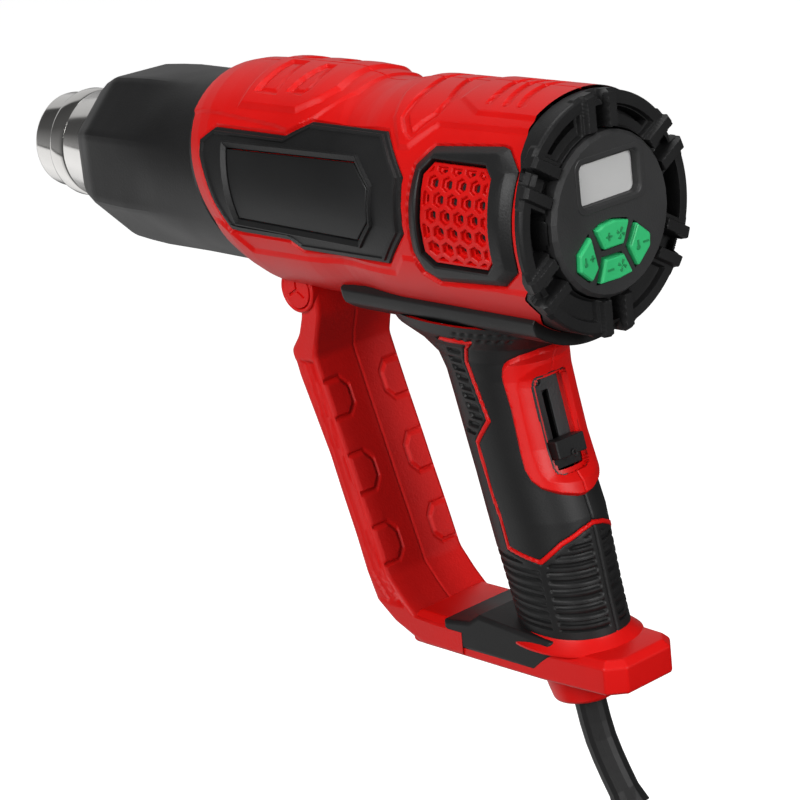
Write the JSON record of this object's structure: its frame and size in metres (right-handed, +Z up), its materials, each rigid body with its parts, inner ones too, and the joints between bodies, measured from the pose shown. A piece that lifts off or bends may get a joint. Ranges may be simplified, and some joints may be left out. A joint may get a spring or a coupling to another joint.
{
  "type": "heat gun",
  "caption": "Pistol-shaped hot-air gun with a steel nozzle, honeycomb side vents, a display and keys on its rear cap, a guarded grip with a slide switch, and a coiled mains cord.",
  "frame": {"origin": "centre of the grip, where a hand holds the gun", "axes": "+X towards the nozzle along the barrel, +Y towards the gun's left side, +Z up"},
  "size_m": [0.291, 0.0784, 0.4662],
  "materials": {
    "red_shell": "fine-textured moulded red plastic",
    "black_shell": "fine-grained black plastic",
    "black_rubber": "soft black over-moulded rubber",
    "green_rubber": "satin green keypad rubber",
    "display_glass": "pale grey display window, blank",
    "polished_steel": "polished stainless steel",
    "mica": "rolled mica insulation",
    "ceramic": "unglazed ceramic",
    "heater_wire": "oxidised resistance wire",
    "circuit_board": "green circuit board",
    "zinc_steel": "zinc-plated steel",
    "white_plastic": "plain white plastic",
    "plated_brass": "nickel-plated brass"
  },
  "bodies": {
    "gun": {"housing_left": "red_shell", "housing_right": "red_shell", "housing_screw_1": "zinc_steel", "housing_screw_2": "zinc_steel", "housing_screw_3": "zinc_steel", "housing_screw_4": "zinc_steel", "side_panel_left": "black_shell", "side_panel_right": "black_shell", "label_plate_left": "black_shell", "label_plate_right": "black_shell", "vent_frame_left": "black_shell", "vent_frame_right": "black_shell", "vent_grille_left": "red_shell", "vent_grille_right": "red_shell", "guard_boss_cap_left": "red_shell", "guard_boss_cap_right": "red_shell", "grip_cover_left": "black_rubber", "grip_cover_right": "black_rubber", "switch_bezel": "red_shell", "switch_plate": "black_shell", "switch_body": "black_shell", "rear_cap": "black_shell", "control_console": "black_shell", "display_lens": "display_glass", "display_module": "white_plastic", "control_board": "circuit_board", "front_collar": "black_shell", "nozzle_tube": "polished_steel", "outlet_tube": "polished_steel", "mica_tube": "mica", "heater_core": "ceramic", "heater_coil": "heater_wire", "heater_flange": "ceramic", "motor_body": "zinc_steel", "motor_mount": "black_shell", "cord_sleeve": "black_rubber", "cord_clamp": "white_plastic", "cord_run": "black_rubber", "cord_tail": "black_rubber", "cord_coil": "black_rubber", "coil_tie": "black_rubber", "plug_body": "black_rubber", "plug_pin_1": "plated_brass", "plug_pin_2": "plated_brass"},
    "button_fan_up_key": {"button_fan_up": "green_rubber"},
    "button_fan_down_key": {"button_fan_down": "green_rubber"},
    "button_temperature_up_key": {"button_temperature_up": "green_rubber"},
    "button_temperature_down_key": {"button_temperature_down": "green_rubber"},
    "slide_switch": {"switch_slider": "black_shell"},
    "fan": {"fan_rotor": "black_shell"}
  },
  "joints": [
    {"name": "button_fan_up_press", "type": "slide", "parent": "gun", "child": "button_fan_up_key", "axis": [1, 0, 0], "range_m": [0, 0.0009], "stiffness_N_per_m": 900},
    {"name": "button_fan_down_press", "type": "slide", "parent": "gun", "child": "button_fan_down_key", "axis": [1, 0, 0], "range_m": [0, 0.0009], "stiffness_N_per_m": 900},
    {"name": "button_temperature_up_press", "type": "slide", "parent": "gun", "child": "button_temperature_up_key", "axis": [1, 0, 0], "range_m": [0, 0.0009], "stiffness_N_per_m": 900},
    {"name": "button_temperature_down_press", "type": "slide", "parent": "gun", "child": "button_temperature_down_key", "axis": [1, 0, 0], "range_m": [0, 0.0009], "stiffness_N_per_m": 900},
    {"name": "slide_switch_travel", "type": "slide", "parent": "gun", "child": "slide_switch", "axis": [0.2113, 0, 0.9774], "range_m": [0, 0.016]},
    {"name": "fan_spin", "type": "hinge", "parent": "gun", "child": "fan", "pos_m": [0, 0, 0.098], "axis": [1, 0, 0], "continuous": true}
  ]
}
